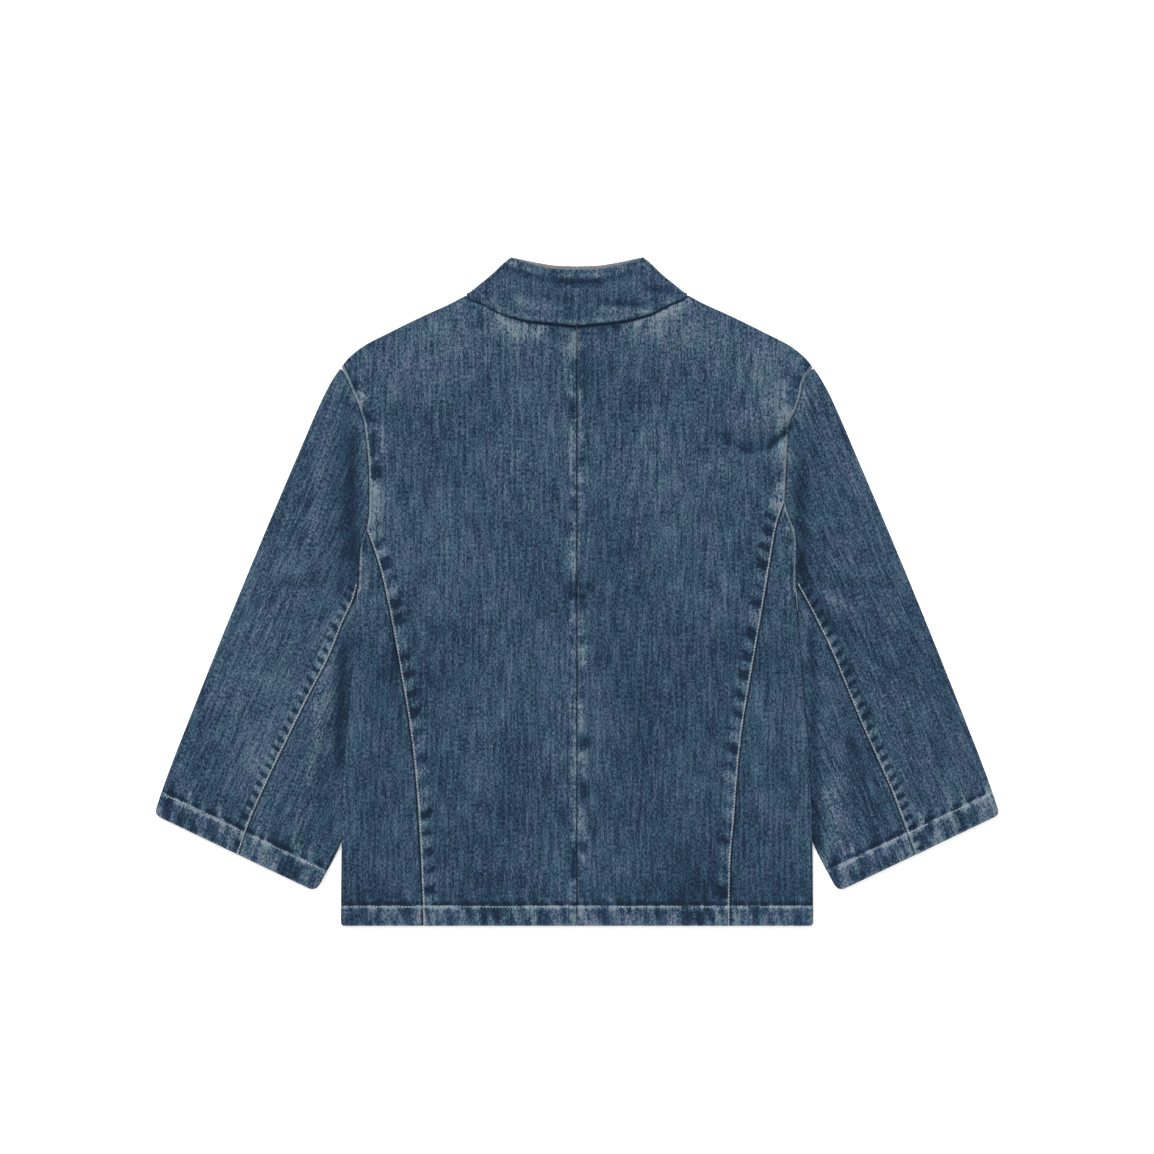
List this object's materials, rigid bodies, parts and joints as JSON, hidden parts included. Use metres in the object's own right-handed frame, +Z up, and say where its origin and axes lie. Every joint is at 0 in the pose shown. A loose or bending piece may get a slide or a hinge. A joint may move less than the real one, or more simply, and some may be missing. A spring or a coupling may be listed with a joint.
{
  "type": "denim jacket",
  "caption": "Cropped denim jacket with a stand collar and wide sleeves, laid flat on its front with the back uppermost.",
  "frame": {"origin": "centre of the bounding box in plan, on the surface the jacket lies on", "axes": "+X across the jacket towards the right sleeve as seen, +Y from the hem towards the collar, +Z up out of the back"},
  "size_m": [0.845, 0.6675, 0.0088],
  "materials": {
    "denim": "washed mid-blue denim twill, pale abrasion along the seams",
    "facing": "pale grey-beige reverse of the denim"
  },
  "bodies": {
    "root": {"back_left": "denim", "side_left": "denim", "front_left": "denim", "upper_sleeve_left": "denim", "under_sleeve_left": "denim", "back_right": "denim", "side_right": "denim", "front_right": "denim", "upper_sleeve_right": "denim", "under_sleeve_right": "denim", "collar": "denim", "collar_facing": "facing"}
  },
  "joints": []
}
